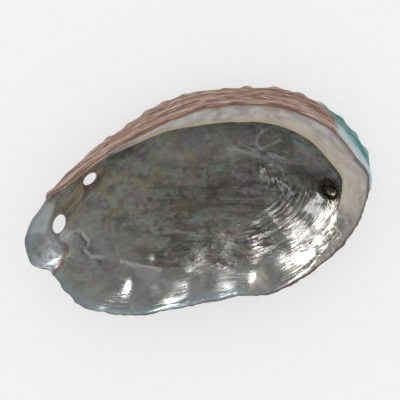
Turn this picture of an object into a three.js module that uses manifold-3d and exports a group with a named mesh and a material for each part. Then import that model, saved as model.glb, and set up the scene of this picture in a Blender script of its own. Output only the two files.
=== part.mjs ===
// An empty abalone shell, lying on its back with its pearly hollow up.
//
// The shell is one piece. It is drawn as two skins that meet at the rim: the rough outer skin, and
// the pearly inner skin with its flat shelf along the inner lip. Each skin is a ring of meridians,
// which run from the rim to the deepest point of the bowl. The ridges and knobs are then raised out
// of the skins, and the two open holes are bored. Millimetres, +Z up, +X to the spire's end.
import * as THREE from "three";
import Module from "manifold-3d";

// Driving dimensions
const BOWL_DEPTH = 22.5; // rim plane to the lowest point of the outer skin
const FLOOR_WALL = 2.8; // wall at the bottom of the bowl
const FLOOR_CENTRE = [6, 4]; // the deepest point, seen from above
const FLOOR_OVAL = [56, 35]; // half length and half width of the oval the floor is shaped by
const FLOOR_ROUND = 1.8; // how round the floor is: 2 is a plain bowl, less is flatter
const SHELF_CROWN = 0.35; // how far the shelf bulges above its two edges
const SHELF_DROP = 0.11; // how far the shelf falls for each millimetre of its width
const SHELF_LIP = 1.5; // thickness of the shelf's rounded inner edge
const EDGE_WALL = 1.4; // thickness of the thin edge where there is no shelf

// Relief
const KEEL = { height: 1.1, width: 2.6 }; // the raised row that the holes stand on
const KNOB = { radius: 2.7, sunk: 0.58 }; // what a closed hole leaves, and the share that is sunk
const TUBE = { height: 1.2, wall: 0.8, foot: 2.2 }; // the raised mouth round an open hole
const CHANNEL = { depth: 1.3, width: 3.4 }; // the groove along the holes, inside
const SPIRE = [37.3, -7.7]; // where the shell began to grow, seen from above
const SPIRE_PIT = { depth: 2.1, width: 3.6 }; // the hollow of the spire, inside
const SPIRE_MOUND = { height: 1.3, width: 9 }; // how the spire stands out of the back
const SPIRE_TURN = { start: 13.5, growth: 0.36, knob: 2.1 }; // the row of knobs round the spire
const FOLD = { height: 0.65, inside: 11, outside: 20 }; // soft folds that run in from the lip

// How the finished shell lies, and how much is worn off where it touches the ground
const REST_TILT = [2.1, -0.2]; // degrees about X, then about Y
const WORN = 0.4;

// How finely the skins are drawn
const AROUND = 102;
const OUTER_ROWS = 20;
const SHELF_ROWS = 3;
const INNER_ROWS = 14;

// The rim: [angle about the middle in degrees, distance from the middle, height].
const RIM = [
  [0, 48.1, -0.6], [14, 43.9, 0], [28, 38.5, 0.4], [43, 33.7, 0.7], [60, 29.5, 0.9],
  [80, 27.3, 1], [100, 26.9, 1], [118, 28.2, 0.9], [132, 31.1, 0.6], [148, 37.8, 0.1],
  [161, 46.1, -0.4], [166, 51.0, -0.6], [169, 55.9, -0.8], [173, 59.4, -1.1], [178, 64.2, -1.6],
  [183, 67.0, -2.0], [188, 67.3, -2.2], [190, 66.3, -2.0], [192, 62.4, -0.6], [195, 61.6, 0.4],
  [201, 61.0, -0.2], [207, 60.0, -0.4], [216, 55.1, 0], [226, 49.0, 0.4], [237, 42.7, 0.8],
  [252, 38.2, 1.0], [266, 36.5, 1.1], [284, 39.3, 0.8], [300, 41.6, 0.4], [318, 45.3, -0.2],
  [335, 49.8, -0.9], [351, 52.1, -1.0],
];
// The outline of the body below the rim, where the rim's own waves have died out: [degrees, radius].
const BODY = [
  [0, 53], [30, 45], [60, 37], [90, 34], [120, 36], [145, 43], [165, 53], [182, 63.5], [200, 61.5],
  [215, 55], [230, 47.5], [250, 40], [270, 37.5], [300, 41.5], [330, 49], [350, 52.3],
];
// How far the shell swells out past the rim, and how deep the swell sits: [degrees, reach, depth].
const SWELL = [
  [0, 5.2, 9], [14, 6.3, 11], [28, 7.7, 12], [43, 8.0, 12.5], [60, 7.0, 12.5], [80, 6.8, 12],
  [100, 7.2, 11], [118, 6.9, 9.5], [132, 5.6, 7.5], [148, 4.3, 5], [161, 4.2, 3],
  [166, 2.9, 2.2], [170, 0.2, 1.7], [200, 0, 1.6], [270, 0, 1.5], [325, 0, 1.6], [340, 0.3, 2.9],
  [351, 0.9, 5.6],
];
// The shelf along the inner lip, and the wall below it: [degrees, width, wall].
const SHELF = [
  [0, 6.8, 3.6], [14, 7.3, 3.2], [30, 6.4, 3.0], [50, 5.8, 2.8], [70, 5.0, 2.8], [90, 4.5, 2.8],
  [107, 3.0, 2.8], [122, 2.0, 2.6], [140, 1.7, 2.4], [155, 1.1, 2.2], [168, 0.9, 1.4],
  [185, 0.9, 1.0], [240, 0.9, 1.0], [295, 0.9, 1.0], [316, 2.6, 2.6], [332, 6.6, 6.0],
  [345, 8.4, 7.0], [352, 8.0, 5.2],
];
// How steeply the side leaves the rim: [degrees, steepness]. Low is upright, high is flared.
const SIDE = [
  [0, 1.25], [40, 1.15], [90, 1.1], [140, 1.4], [165, 2.0], [190, 2.8], [230, 3.0], [270, 3.0],
  [300, 2.8], [330, 2.0],
];
// The keel where it runs inside the swell: [degrees, distance from the middle].
const KEEL_START = [[150, 43.4], [155, 43.2], [161.4, 43.1], [170, 47.4], [179.2, 54.4], [187, 60]];
// The knobs that closed holes leave on the keel, by their angle about the middle.
const CLOSED_HOLES = [142, 130, 118.5, 107, 95.5, 83.5, 71.5, 59, 46, 35, 25.5, 15.5, 5.5];
// The two open holes: where they are bored, their two bores and how far they are turned.
const OPEN_HOLES = [
  { at: [-54.4, 0.8], bore: [6.8, 4.2], turn: 57 },
  { at: [-40.9, 13.5], bore: [5.6, 3.1], turn: 27 },
];
// The crests of the folds, by their angle about the middle.
const CRESTS = [[195, -1], [218, 0], [241, 1], [276, 2], [310, 3], [341, 4]];

const TURN = 2 * Math.PI;
const radians = (degrees) => (degrees * Math.PI) / 180;
const { lerp, smoothstep, euclideanModulo } = THREE.MathUtils;
const hump = (distance, width) => Math.exp(-((distance / width) ** 2));

// A smooth closed curve through rows of [degrees, value, ...], for the value in one column.
function ring(rows, column) {
  const count = rows.length;
  const at = (i) => radians(rows[(i + count) % count][0]) + TURN * Math.floor(i / count);
  const value = (i) => rows[(i + count) % count][column];
  const slope = (i) => (value(i + 1) - value(i)) / (at(i + 1) - at(i));
  const tangent = (i) => {
    const before = slope(i - 1);
    const after = slope(i);
    return before * after <= 0 ? 0 : (2 * before * after) / (before + after);
  };
  return (angle) => {
    const a = euclideanModulo(angle - at(0), TURN) + at(0);
    let i = 0;
    while (i < count - 1 && at(i + 1) <= a) i += 1;
    const step = at(i + 1) - at(i);
    const t = (a - at(i)) / step;
    const bend = step * t * (1 - t) * ((1 - t) * tangent(i) - t * tangent(i + 1));
    return lerp(value(i), value(i + 1), t * t * (3 - 2 * t)) + bend;
  };
}

const rimRadius = ring(RIM, 1);
const rimHeight = ring(RIM, 2);
const swellReach = ring(SWELL, 1);
const swellDepth = ring(SWELL, 2);
const shelfWidth = ring(SHELF, 1);
const wallWidth = ring(SHELF, 2);
const sideSteepness = ring(SIDE, 1);
const bodyRadius = ring(BODY, 1);

// The radius, about the middle, of the oval that shapes the floor.
function ovalRadius(angle) {
  return 1 / Math.hypot(Math.cos(angle) / FLOOR_OVAL[0], Math.sin(angle) / FLOOR_OVAL[1]);
}

// A meridian's lower part, from the widest point down to the deepest. Seen from above, its rings
// change from the rim's outline at the top into ovals about the deepest point.
function bowlCurve(angle, widest, top, bottom) {
  const points = [];
  const inset = rimRadius(angle) + swellReach(angle) - widest;
  const side = sideSteepness(angle);
  const floor = (FLOOR_ROUND * (BOWL_DEPTH - 3)) / (top - bottom);
  for (let i = 0; i <= 60; i += 1) {
    const turn = ((i / 60) * Math.PI) / 2;
    const c = i === 60 ? 0 : Math.cos(turn);
    const w = smoothstep(c, 0.05, 1);
    const body = lerp(bodyRadius(angle) - inset, widest, smoothstep(c, 0.8, 1));
    const radius = c * lerp(ovalRadius(angle), body, w);
    const fall = Math.sin(turn) ** lerp(floor, side, w);
    points.push(
      new THREE.Vector3(
        radius * Math.cos(angle) + FLOOR_CENTRE[0] * (1 - w),
        radius * Math.sin(angle) + FLOOR_CENTRE[1] * (1 - w),
        top + (bottom - top) * fall,
      ),
    );
  }
  return points;
}

// Points along a Bezier curve that lies in the upright plane of one meridian.
function lipCurve(angle, controls, count) {
  const points = controls.map(
    ([radius, z]) => new THREE.Vector3(radius * Math.cos(angle), radius * Math.sin(angle), z),
  );
  const Curve = points.length === 3 ? THREE.QuadraticBezierCurve3 : THREE.CubicBezierCurve3;
  return new Curve(...points).getPoints(count);
}

function outerMeridian(angle) {
  const rim = rimRadius(angle);
  const height = rimHeight(angle);
  const widest = rim + swellReach(angle);
  const depth = height - swellDepth(angle);
  const band = lipCurve(
    angle,
    [[rim, height], [widest - 0.1, height - swellDepth(angle) * 0.25], [widest, depth]],
    16,
  );
  return [...band.slice(0, -1), ...bowlCurve(angle, widest, depth, -BOWL_DEPTH)];
}

function shelfMeridian(angle) {
  const rim = rimRadius(angle);
  const height = rimHeight(angle);
  const width = shelfWidth(angle);
  const drop = width * SHELF_DROP;
  return lipCurve(
    angle,
    [[rim, height], [rim - width * 0.45, height + SHELF_CROWN], [rim - width, height - drop]],
    12,
  );
}

function innerMeridian(angle) {
  const rim = rimRadius(angle);
  const edge = rim - shelfWidth(angle);
  const drop = rimHeight(angle) - shelfWidth(angle) * SHELF_DROP;
  const hollow = Math.max(rim + swellReach(angle) - wallWidth(angle), edge);
  const below = Math.max(swellDepth(angle) - EDGE_WALL, 0);
  const depth = drop - below * 0.95 - 0.25;
  const under = Math.min(SHELF_LIP, below * 0.4 + 0.04);
  const lip = lipCurve(
    angle,
    [[edge, drop], [edge - under * 0.5, drop - under], [hollow, drop - under * 1.6], [hollow, depth]],
    16,
  );
  return [...lip.slice(0, -1), ...bowlCurve(angle, hollow, depth, FLOOR_WALL - BOWL_DEPTH)];
}

// Evenly spaced points along a polyline, without its last point.
function spaced(points, count) {
  const path = new THREE.CurvePath();
  for (let i = 1; i < points.length; i += 1) {
    path.add(new THREE.LineCurve3(points[i - 1], points[i]));
  }
  const evenly = [];
  for (let i = 0; i < count; i += 1) evenly.push(path.getPoint(i / count));
  return evenly;
}

// The keel's points on the outer skin, one for every two degrees, and where a given one lies.
const keelRadius = (angle) => {
  const degrees = euclideanModulo((angle * 180) / Math.PI, 360);
  if (degrees <= 150 || degrees > 187) return Infinity;
  const i = KEEL_START.findIndex((row) => row[0] >= degrees);
  const [from, to] = [KEEL_START[i - 1], KEEL_START[i]];
  return lerp(from[1], to[1], (degrees - from[0]) / (to[0] - from[0]));
};
function keelPoint(angle) {
  const widest = rimRadius(angle) + swellReach(angle);
  if (keelRadius(angle) > widest) {
    const z = rimHeight(angle) - swellDepth(angle) * 1.25;
    return new THREE.Vector3(widest * Math.cos(angle), widest * Math.sin(angle), z);
  }
  const bowl = bowlCurve(angle, widest, rimHeight(angle) - swellDepth(angle), -BOWL_DEPTH);
  return bowl.find((p) => Math.hypot(p.x, p.y) <= keelRadius(angle));
}
const keelLine = [];
for (let degrees = 0; degrees <= 186; degrees += 2) keelLine.push(keelPoint(radians(degrees)));
const nearest = (p, points) => Math.min(...points.map((q) => p.distanceTo(q)));

const crestAt = ring([...CRESTS, [368, 5], [440, 7], [530, 8]].map(([a, n]) => [a, n]), 1);
function foldHeight(p, reach) {
  const angle = euclideanModulo(Math.atan2(p.y, p.x), TURN);
  const degrees = (angle * 180) / Math.PI;
  const share = smoothstep(degrees, 196, 214) * (1 - smoothstep(degrees, 322, 344));
  if (share === 0) return 0;
  const inward = rimRadius(angle) - Math.hypot(p.x, p.y);
  return FOLD.height * share * hump(inward, reach) * Math.cos(TURN * crestAt(angle));
}

const fromSpire = (p) => Math.hypot(p.x - SPIRE[0], p.y - SPIRE[1]);

// How far a point of the outer skin is raised.
const outerRelief = (p) =>
  KEEL.height * hump(nearest(p, keelLine), KEEL.width) +
  SPIRE_MOUND.height * hump(fromSpire(p), SPIRE_MOUND.width) -
  foldHeight(p, FOLD.outside);

// How far a point of the inner skin is raised.
const channelLine = keelLine.slice(75);
const innerRelief = (p) =>
  foldHeight(p, FOLD.inside) -
  CHANNEL.depth * hump(nearest(p, channelLine), CHANNEL.width) -
  SPIRE_PIT.depth * hump(fromSpire(p), SPIRE_PIT.width);

// The whole skin as rings of points, from the deepest point outside to the deepest point inside.
function skinRings() {
  const meridians = [];
  for (let i = 0; i < AROUND; i += 1) {
    const u = i / AROUND;
    const angle = TURN * (u + 0.025 * Math.sin(TURN * u) - 0.02 * Math.sin(2 * TURN * u));
    const outside = spaced(outerMeridian(angle).reverse(), OUTER_ROWS);
    const shelf = spaced(shelfMeridian(angle), SHELF_ROWS);
    const inside = spaced(innerMeridian(angle), INNER_ROWS);
    meridians.push([...outside.slice(1), ...shelf, ...inside]);
  }
  return meridians;
}

// Moves the points along the skin's own slope by their relief.
function raised(meridians) {
  const rows = meridians[0].length;
  return meridians.map((line, i) => {
    const before = meridians[(i + AROUND - 1) % AROUND];
    const after = meridians[(i + 1) % AROUND];
    return line.map((p, j) => {
      if (j < 1 || j > rows - 2) return p.clone();
      const along = line[j + 1].clone().sub(line[j - 1]);
      const across = after[j].clone().sub(before[j]);
      const normal = across.cross(along).normalize();
      const outside = j < OUTER_ROWS - 1;
      const onShelf = !outside && j < OUTER_ROWS - 1 + SHELF_ROWS;
      if (onShelf) return p.clone().setZ(p.z + foldHeight(p, FOLD.inside));
      return p.clone().addScaledVector(normal, outside ? outerRelief(p) : innerRelief(p));
    });
  });
}

const wasm = await Module();
wasm.setup();

// A closed solid from the meridians, with one point at each end that they all share.
function skinSolid(meridians) {
  const rows = meridians[0].length;
  const points = meridians.flat();
  const bottom = points.push(new THREE.Vector3(...FLOOR_CENTRE, -BOWL_DEPTH)) - 1;
  const top = points.push(new THREE.Vector3(...FLOOR_CENTRE, FLOOR_WALL - BOWL_DEPTH)) - 1;
  const faces = [];
  for (let i = 0; i < AROUND; i += 1) {
    const a = i * rows;
    const b = ((i + 1) % AROUND) * rows;
    faces.push(bottom, b, a);
    for (let j = 0; j < rows - 1; j += 1) {
      faces.push(a + j, b + j, b + j + 1, a + j, b + j + 1, a + j + 1);
    }
    faces.push(a + rows - 1, b + rows - 1, top);
  }
  const vertProperties = new Float32Array(points.flatMap((p) => [p.x, p.y, p.z]));
  const mesh = new wasm.Mesh({ numProp: 3, vertProperties, triVerts: new Uint32Array(faces) });
  return new wasm.Manifold(mesh);
}

// The outer skin's point at one spot seen from above, and how far the skin leans there.
function skinAt([x, y]) {
  const angle = Math.atan2(y, x);
  const widest = rimRadius(angle) + swellReach(angle);
  const bowl = bowlCurve(angle, widest, rimHeight(angle) - swellDepth(angle), -BOWL_DEPTH);
  const i = bowl.findIndex((p) => Math.hypot(p.x, p.y) <= Math.hypot(x, y));
  const step = bowl[i].clone().sub(bowl[i - 1]);
  const lean = Math.atan2(-step.z, Math.hypot(step.x, step.y));
  return { z: bowl[i].z, turn: (angle * 180) / Math.PI, lean: (lean * 180) / Math.PI };
}

// Raises a short tube round each open hole and bores it through.
function withHoles(solid) {
  let shell = solid;
  for (const { at, bore, turn } of OPEN_HOLES) {
    const skin = skinAt(at);
    const ratio = bore[0] / bore[1];
    const oval = (height, low, high, z) =>
      wasm.Manifold.cylinder(height, low, high, 18)
        .scale([ratio, 1, 1])
        .rotate([0, 0, turn - skin.turn])
        .translate([0, 0, z]);
    const place = (piece, lean) =>
      piece.rotate([0, -lean, 0]).rotate([0, 0, skin.turn]).translate([...at, skin.z]);
    const mouth = bore[1] / 2;
    const tube = oval(TUBE.height + 0.6, mouth + TUBE.wall, mouth + TUBE.foot, -TUBE.height);
    shell = shell.add(place(tube, skin.lean)).subtract(place(oval(20, mouth, mouth, -10), 10));
  }
  return shell;
}

// Sets a knob on the keel for each hole that has closed, and the smaller knobs round the spire.
function withKnobs(solid) {
  const spots = CLOSED_HOLES.map((degrees) => ({
    p: keelPoint(radians(degrees)),
    radius: KNOB.radius,
  }));
  for (let turn = 0.6; turn < 7.2; turn += 0.55) {
    const away = SPIRE_TURN.start * Math.exp(-SPIRE_TURN.growth * turn);
    const x = SPIRE[0] + away * Math.cos(turn);
    const y = SPIRE[1] - away * Math.sin(turn);
    const radius = SPIRE_TURN.knob * (0.45 + (0.55 * away) / SPIRE_TURN.start);
    spots.push({ p: new THREE.Vector3(x, y, skinAt([x, y]).z), radius });
  }
  const knobs = spots.map(({ p, radius }) => {
    const inward = new THREE.Vector3(p.x * 0.3, p.y * 0.3, -8).sub(p).normalize();
    const centre = p.clone().addScaledVector(inward, radius * KNOB.sunk);
    return wasm.Manifold.sphere(radius, radius < KNOB.radius ? 8 : 12).translate(centre.toArray());
  });
  return solid.add(wasm.Manifold.union(knobs));
}

// Lays the shell down, wears off its lowest point and puts the middle of its box on the origin.
function laidDown(solid) {
  const turned = solid.rotate([REST_TILT[0], REST_TILT[1], 0]);
  const { min } = turned.boundingBox();
  const worn = turned.trimByPlane([0, 0, 1], min[2] + WORN);
  const box = worn.boundingBox();
  const middle = [(box.min[0] + box.max[0]) / 2, (box.min[1] + box.max[1]) / 2];
  return worn.translate([-middle[0], -middle[1], -box.min[2]]);
}

function meshOf(solid, name, material) {
  const { vertProperties, triVerts } = solid.getMesh();
  const geometry = new THREE.BufferGeometry();
  geometry.setAttribute("position", new THREE.BufferAttribute(vertProperties, 3));
  geometry.setIndex(new THREE.BufferAttribute(triVerts, 1));
  const mesh = new THREE.Mesh(geometry, material);
  mesh.name = name;
  return mesh;
}

const nacre = new THREE.MeshStandardMaterial({ color: 0x8f8f88, roughness: 0.35, metalness: 0 });
const shell = laidDown(withHoles(withKnobs(skinSolid(raised(skinRings())))));

const group = new THREE.Group();
group.add(meshOf(shell, "abalone_shell", nacre));
export default group;
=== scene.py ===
# %% [markdown]
# # An abalone shell, lying on its back
#
# The real thing is one grown piece: a shallow, ear-shaped bowl. Inside it is smooth and pearly,
# with a flat ledge along one side. Outside it is rough, red-brown where the shell is grown up and
# blue-green round the small spire where it was young. A row of knobs, the last two of them still
# open holes, runs along one side.
#
# This first cell loads the imported model as the fixed frame.

import math

import bpy
import numpy as np
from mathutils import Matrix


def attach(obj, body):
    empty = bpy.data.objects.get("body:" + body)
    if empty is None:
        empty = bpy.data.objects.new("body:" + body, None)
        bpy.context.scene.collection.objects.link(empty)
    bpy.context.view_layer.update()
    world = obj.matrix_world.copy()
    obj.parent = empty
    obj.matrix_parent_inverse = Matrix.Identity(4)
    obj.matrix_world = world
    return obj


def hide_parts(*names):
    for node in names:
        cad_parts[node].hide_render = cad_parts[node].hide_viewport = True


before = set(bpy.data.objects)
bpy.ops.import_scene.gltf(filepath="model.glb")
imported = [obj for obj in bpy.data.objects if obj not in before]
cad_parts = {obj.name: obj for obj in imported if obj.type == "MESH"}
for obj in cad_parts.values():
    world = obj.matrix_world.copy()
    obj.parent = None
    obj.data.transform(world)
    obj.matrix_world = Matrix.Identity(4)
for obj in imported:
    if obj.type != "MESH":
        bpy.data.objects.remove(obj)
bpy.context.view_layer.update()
MM = 0.001

# %% [markdown]
# ## The plan of the shell
#
# Everything on the shell is placed by its angle about the middle of the opening, as it would be if
# the shell lay on a turntable. Angle 0 points to the spire's end, 90 to the side with the ledge.
# Each list gives a few rows of an angle in degrees with its sizes in millimetres, and a smooth
# closed curve is drawn through them. The same rows shape the solid part, so both have one form, up
# to a millimetre at the ledge by the spire and where the swell ends above the holes.

# %% The rows that the outline, the swell and the ledge follow
BOWL_DEPTH = 22.5
FLOOR_WALL = 2.8
FLOOR_CENTRE = (6.0, 4.0)
FLOOR_OVAL = (56.0, 35.0)
FLOOR_ROUND = 1.8
SHELF_CROWN = 0.35
SHELF_DROP = 0.11
SHELF_LIP = 1.5
EDGE_WALL = 1.4

# angle, distance of the rim from the middle, height of the rim
RIM = [
    (0, 48.1, -0.6), (14, 43.9, 0), (28, 38.5, 0.4), (43, 33.7, 0.7), (60, 29.5, 0.9),
    (80, 27.3, 1), (100, 26.9, 1), (118, 28.2, 0.9), (132, 31.1, 0.6), (148, 37.8, 0.1),
    (161, 46.1, -0.4), (166, 51.0, -0.6), (169, 55.9, -0.8), (173, 59.4, -1.1), (178, 64.2, -1.6),
    (183, 67.0, -2.0), (188, 67.3, -2.2), (190, 66.3, -2.0), (192, 62.4, -0.6), (195, 61.6, 0.4),
    (201, 61.0, -0.2), (207, 60.0, -0.4), (216, 55.1, 0), (226, 49.0, 0.4), (237, 42.7, 0.8),
    (252, 38.2, 1.0), (266, 36.5, 1.1), (284, 39.3, 0.8), (300, 41.6, 0.4), (318, 45.3, -0.2),
    (335, 49.8, -0.9), (351, 52.1, -1.0),
]
# angle, radius of the body below the rim
BODY = [
    (0, 53), (30, 45), (60, 37), (90, 34), (120, 36), (145, 43), (165, 53), (182, 63.5),
    (200, 61.5), (215, 55), (230, 47.5), (250, 40), (270, 37.5), (300, 41.5), (330, 49),
    (350, 52.3),
]
# angle, how far the shell swells past the rim, how deep the swell sits
SWELL = [
    (0, 5.2, 9), (14, 6.3, 11), (28, 7.7, 12), (43, 8.0, 12.5), (60, 7.0, 12.5), (80, 6.8, 12),
    (100, 7.2, 11), (118, 6.9, 9.5), (132, 5.7, 7.5), (148, 4.7, 5), (161, 4.9, 3),
    (166.5, 3.5, 2.2), (170.5, 0.3, 1.7), (200, 0, 1.6), (270, 0, 1.5), (325, 0, 1.6),
    (340, 0.3, 2.9), (351, 0.9, 5.6),
]
# angle, width of the ledge, wall of the shell below it
SHELF = [
    (0, 7.8, 3.8), (14, 7.5, 3.2), (30, 6.4, 3.0), (50, 5.8, 2.8), (70, 5.0, 2.8), (90, 4.5, 2.8),
    (107, 3.0, 2.8), (122, 2.0, 2.6), (140, 1.7, 2.4), (155, 1.1, 2.2), (168, 0.9, 1.4),
    (185, 0.9, 1.0), (240, 0.9, 1.0), (295, 0.9, 1.0), (316, 2.6, 2.6), (332, 6.6, 6.0),
    (344, 8.9, 7.0), (351, 9.0, 5.6),
]
# angle, how flared the side is
SIDE = [
    (0, 1.25), (40, 1.15), (90, 1.1), (140, 1.4), (165, 2.0), (190, 2.8), (230, 3.0), (270, 3.0),
    (300, 2.8), (330, 2.0),
]
print("rows:", len(RIM), "for the rim,", len(SWELL), "for the swell,", len(SHELF), "for the ledge")


# %% A smooth closed curve through the rows
TURN = 2 * math.pi


def ring(rows, column):
    """Returns a function of the angle that passes smoothly through one column of the rows."""
    at = np.radians([row[0] for row in rows])
    value = np.array([row[column] for row in rows], float)
    at = np.append(at, at[0] + TURN)
    value = np.append(value, value[0])
    step = np.diff(at)
    slope = np.diff(value) / step
    before = np.roll(slope, 1)
    same_way = before * slope > 0
    tangent = np.where(same_way, 2 * before * slope / np.where(same_way, before + slope, 1), 0)
    tangent = np.append(tangent, tangent[0])

    def curve(angle):
        a = (np.asarray(angle) - at[0]) % TURN + at[0]
        i = np.clip(np.searchsorted(at, a, side="right") - 1, 0, len(step) - 1)
        t = (a - at[i]) / step[i]
        bend = step[i] * t * (1 - t) * ((1 - t) * tangent[i] - t * tangent[i + 1])
        return value[i] + (value[i + 1] - value[i]) * t * t * (3 - 2 * t) + bend

    return curve


rim_radius, rim_height = ring(RIM, 1), ring(RIM, 2)
body_radius = ring(BODY, 1)
swell_reach, swell_depth = ring(SWELL, 1), ring(SWELL, 2)
shelf_width, wall_width = ring(SHELF, 1), ring(SHELF, 2)
side_flare = ring(SIDE, 1)
print("rim at the spire's end:", round(float(rim_radius(0)), 1), "mm from the middle")

# %% [markdown]
# ## The two skins
#
# A shell could be carved, or swept round its spire as it grew. Here it is a ball that has been
# pressed in like a soft cap: the lower half of the ball stays outside as the back, the equator
# becomes the rim, and the upper half is pushed down into the bowl as the pearly lining. That way
# the shell is closed, its wall has a real thickness, and the rows of the ball run along the rim.
#
# Each half circle of the ball becomes one section of the shell. It starts under the deepest point,
# climbs the back, bulges out, comes in over the rim, crosses the ledge, drops under its edge and
# runs down the inside wall to the floor.


# %% One section's parts: the bowl, the band, the ledge and its underside
def smooth(x, low, high):
    t = np.clip((x - low) / (high - low), 0, 1)
    return t * t * (3 - 2 * t)


def window(x, start, full, falling, end):
    """Rises softly from start to full, and falls again from falling to end."""
    return smooth(x, start, full) * (1 - smooth(x, falling, end))


def mix(a, b, t):
    return a + (b - a) * t


def oval_radius(angle):
    return 1 / np.hypot(np.cos(angle) / FLOOR_OVAL[0], np.sin(angle) / FLOOR_OVAL[1])


def bowl_points(angle, widest, top, bottom, c):
    """The lower part of a section, for c from 1 at the widest point to 0 at the deepest."""
    inset = rim_radius(angle) + swell_reach(angle) - widest
    w = smooth(c, 0.05, 1)
    body = mix(body_radius(angle) - inset, widest, smooth(c, 0.8, 1))
    radius = c * mix(oval_radius(angle), body, w)
    floor = FLOOR_ROUND * (BOWL_DEPTH - 3) / (top - bottom)
    fall = np.sqrt(np.clip(1 - c * c, 0, 1)) ** mix(floor, side_flare(angle), w)
    x = radius * np.cos(angle) + FLOOR_CENTRE[0] * (1 - w)
    y = radius * np.sin(angle) + FLOOR_CENTRE[1] * (1 - w)
    return np.stack([x, y, top + (bottom - top) * fall], -1)


def lip_points(angle, controls, t):
    """Points on a Bezier curve in a section's upright plane, for t from 0 to 1."""
    order = len(controls) - 1
    shares = [math.comb(order, k) * (1 - t) ** (order - k) * t**k for k in range(order + 1)]
    radius, z = (sum(s * c[n] for s, c in zip(shares, controls)) for n in (0, 1))
    return np.stack([radius * np.cos(angle), radius * np.sin(angle), z], -1)


def section(angle, steps=240):
    """One section of the shell in three runs of close points: the back, the ledge, the inside."""
    rim, height = rim_radius(angle), rim_height(angle)
    reach, depth = swell_reach(angle), swell_depth(angle)
    width = shelf_width(angle)
    widest, edge = rim + reach, rim - width
    t = np.linspace(0, 1, 60)
    turn = np.linspace(0, 1, steps) * math.pi / 2
    c = np.cos(turn)
    c[-1] = 0
    outside = [(rim, height), (widest - 0.1, height - depth * 0.25), (widest, height - depth)]
    band = lip_points(angle, outside, t)
    back = bowl_points(angle, widest, height - depth, -BOWL_DEPTH, c)
    drop = height - width * SHELF_DROP
    top = [(rim, height), (rim - width * 0.45, height + SHELF_CROWN), (edge, drop)]
    ledge = lip_points(angle, top, t)
    hollow = max(widest - wall_width(angle), edge)
    below = max(depth - EDGE_WALL, 0)
    low = drop - below * 0.95 - 0.25
    under = min(SHELF_LIP, below * 0.4 + 0.04)
    below_edge = [(edge, drop), (edge - under * 0.5, drop - under), (hollow, drop - under * 1.6)]
    wall = lip_points(angle, [*below_edge, (hollow, low)], t)
    inside = bowl_points(angle, hollow, low, FLOOR_WALL - BOWL_DEPTH, c)
    return np.concatenate([band[:-1], back])[::-1], ledge, np.concatenate([wall[:-1], inside])


def spaced(points, shares):
    """Points at the given shares of the way along a run of close points."""
    steps = np.linalg.norm(np.diff(points, axis=0), axis=1)
    way = np.concatenate([[0], np.cumsum(steps)])
    return np.stack([np.interp(shares * way[-1], way, points[:, k]) for k in range(3)], -1)


print("section at the spire's end:", [len(run) for run in section(0.0)], "points")

# %% [markdown]
# ## Growth
#
# An abalone grows round its spire in a quickly widening spiral. Every mark on the back follows that
# growth: fine lines run along each old lip, and low cords run along the spiral. To draw them, each
# point of the skin is given an age, in degrees of turn before today, and a place along the lip. The
# keel's distance from the spire, row by row, says how large the shell was at each age.

# %% Age and place along the lip for any point of the skin
SPIRE = (37.3, -7.7)
# where today's lip begins and ends, in degrees about the spire, and the step it is searched in
LIP_START, LIP_END, LIP_STEP = 182.7, 440, 2.0
# angle about the spire in degrees, distance of the keel from the spire
KEEL = [
    (-34.0, 10.9), (9.8, 16.6), (32.6, 19.5), (63.3, 24.5), (80.3, 28.3), (103.0, 37.1),
    (124.1, 49.6), (142.9, 65.1), (164.7, 80.2), (174.8, 91.7), (182.7, 100.3),
]
# how fast the logarithm of that distance grows, for each radian of turn
EARLY_GROWTH = 0.36
LATE_GROWTH = 0.72
LIP_FALL = 1.1  # how fast it falls along today's lip, past the part that follows the rim
TURN_LOWEST = -32  # where a turn about the spire is taken to begin, in degrees
SEAM_PAST_KEEL = 0.22  # how far past the keel each turn laps, as a logarithm


def turned_about_spire(x, y):
    turned = np.degrees(np.arctan2(y - SPIRE[1], x - SPIRE[0]))
    return (turned - TURN_LOWEST) % 360 + TURN_LOWEST


def keel_log(turned):
    """The logarithm of the keel's distance from the spire, for an angle in degrees."""
    at = np.array([row[0] for row in KEEL])
    value = np.log([row[1] for row in KEEL])
    early = value[0] + np.radians(turned - at[0]) * EARLY_GROWTH
    late = value[-1] + np.radians(turned - at[-1]) * LATE_GROWTH
    inside = np.interp(turned, at, value)
    return np.where(turned < at[0], early, np.where(turned > at[-1], late, inside))


def lip_log(turned):
    """The same for today's lip, followed from the forming hole round to the spire's end."""
    around = np.radians(np.arange(185, 350, 1.0))
    x = rim_radius(around) * np.cos(around) - SPIRE[0]
    y = rim_radius(around) * np.sin(around) - SPIRE[1]
    at = np.degrees(np.unwrap(np.arctan2(y, x))) % 360
    reach = np.log(np.hypot(x, y))
    order = np.argsort(at)
    at, reach = at[order], np.minimum.accumulate(reach[order])
    past = reach[-1] - np.radians(np.maximum(turned - at[-1], 0)) * LIP_FALL
    return np.where(turned > at[-1], past, np.interp(turned, at, reach))


def growth(x, y):
    """Age in degrees, 0 today and less when older, and place along the lip in degrees."""
    away = np.log(np.maximum(np.hypot(x - SPIRE[0], y - SPIRE[1]), 0.05))
    turned = turned_about_spire(x, y)
    turns_back = np.zeros_like(turned)
    for n in (1, 2, 3):
        turns_back = np.where(away < keel_log(turned - 360 * n) + SEAM_PAST_KEEL, n, turns_back)
    turned = turned - 360 * turns_back
    best = np.full(turned.shape, LIP_START)
    reach_before = keel_log(turned)
    for place in np.arange(LIP_START, LIP_END, LIP_STEP)[1:]:
        older = keel_log(LIP_START + turned - place)
        reach = lip_log(np.array(place)) + older - keel_log(LIP_START)
        inside = (away <= reach_before) & (away > reach)
        share = (reach_before - away) / np.maximum(reach_before - reach, 1e-6)
        best = np.where(inside, place - LIP_STEP + LIP_STEP * share, best)
        reach_before = reach
    return turned - best, best


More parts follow.
